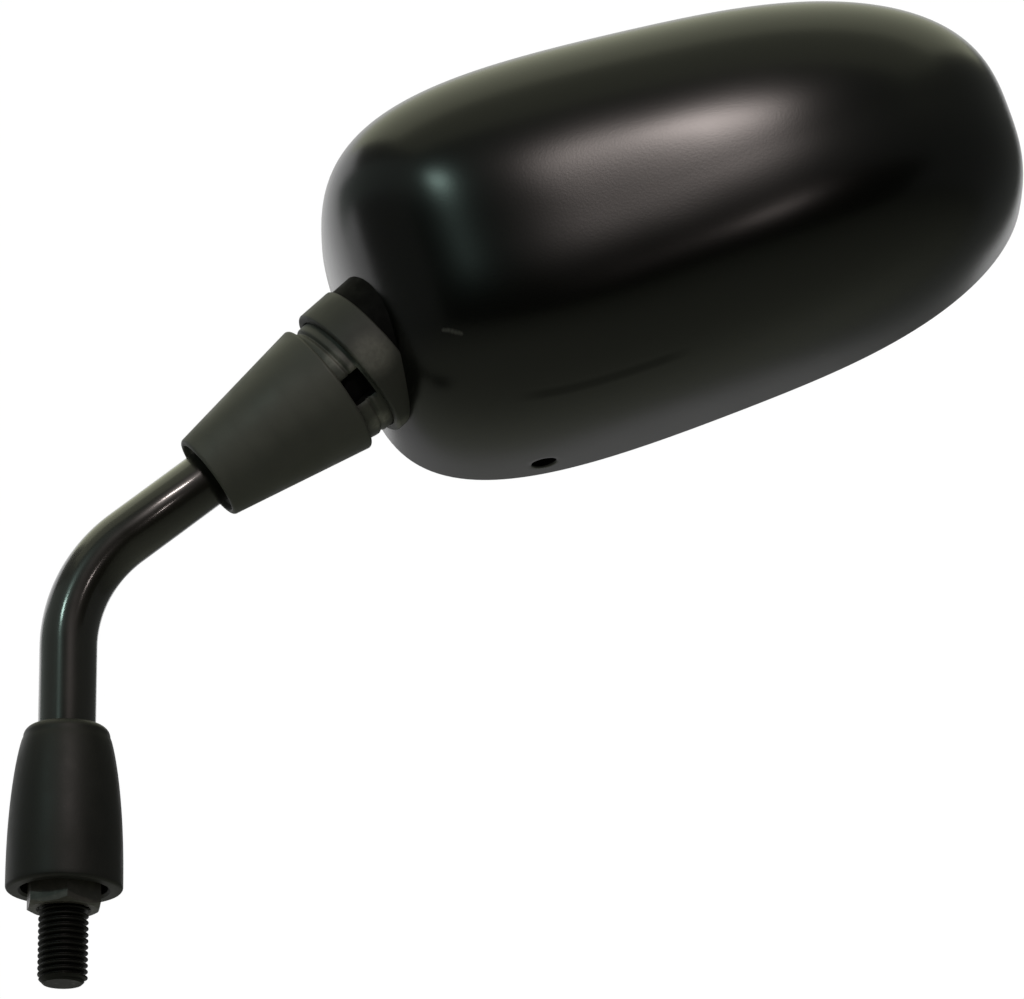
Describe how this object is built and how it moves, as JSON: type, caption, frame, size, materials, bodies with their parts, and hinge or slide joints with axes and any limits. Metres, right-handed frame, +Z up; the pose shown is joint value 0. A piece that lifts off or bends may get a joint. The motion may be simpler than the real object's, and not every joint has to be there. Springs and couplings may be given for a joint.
{
  "type": "motorcycle mirror",
  "caption": "Left-hand motorcycle mirror: bent black stem with a threaded foot and lock nut, sliding base boot, sprung ball swivel, egg-shaped moulded housing and convex glass.",
  "frame": {"origin": "on the mounting thread's axis, in the seat plane under the lock nut", "axes": "+Z up the stem, away from the threaded end; +X towards the side that the neck bends to; -Y the way the back of the housing faces, +Y the way the glass faces"},
  "size_m": [0.2049, 0.0535, 0.2079],
  "materials": {
    "black_gloss_paint": "gloss black paint over steel rod",
    "black_nut_steel": "black passivated steel, satin",
    "black_rubber": "satin moulded rubber",
    "black_nylon": "moulded glass-filled nylon, satin",
    "zinc_steel": "bright zinc plate",
    "spring_steel": "oiled spring steel",
    "natural_nylon": "natural nylon",
    "black_housing_plastic": "moulded ABS, semi-matte",
    "black_foam": "closed-cell foam tape",
    "mirror_glass": "silvered convex glass"
  },
  "bodies": {
    "stem": {"stem": "black_gloss_paint", "swivel_cone": "black_nylon", "thrust_washer": "natural_nylon", "tension_spring": "spring_steel", "spring_plate": "zinc_steel", "swivel_nut": "zinc_steel"},
    "boot": {"base_boot": "black_rubber"},
    "nut": {"lock_nut": "black_nut_steel"},
    "seat": {"inner_seat": "zinc_steel"},
    "liner": {"seat_liner": "natural_nylon"},
    "head": {"neck_dome": "black_nylon", "clamp_plate": "zinc_steel", "clamp_screws": "zinc_steel", "housing_shell": "black_housing_plastic", "glass_carrier": "black_nylon", "carrier_screws": "zinc_steel", "foam_pad": "black_foam", "mirror_glass": "mirror_glass"}
  },
  "joints": [
    {"name": "boot_slide", "type": "slide", "parent": "stem", "child": "boot", "axis": [0, 0, 1], "range_m": [0, 0.016]},
    {"name": "lock_nut_turn", "type": "hinge", "parent": "stem", "child": "nut", "pos_m": [0, 0, 0.004], "axis": [0, 0, 1], "range_deg": [0, 360]},
    {"name": "head_swivel", "type": "hinge", "parent": "stem", "child": "seat", "pos_m": [0.05437, 0, 0.11098], "axis": [0.788, 0, 0.6157], "range_deg": [-15, 15]},
    {"name": "head_tip", "type": "hinge", "parent": "seat", "child": "liner", "pos_m": [0.05437, 0, 0.11098], "axis": [0, 1, 0], "range_deg": [-4, 9]},
    {"name": "head_turn", "type": "hinge", "parent": "liner", "child": "head", "pos_m": [0.05437, 0, 0.11098], "axis": [0.6157, 0, -0.788], "range_deg": [-7, 7]}
  ]
}
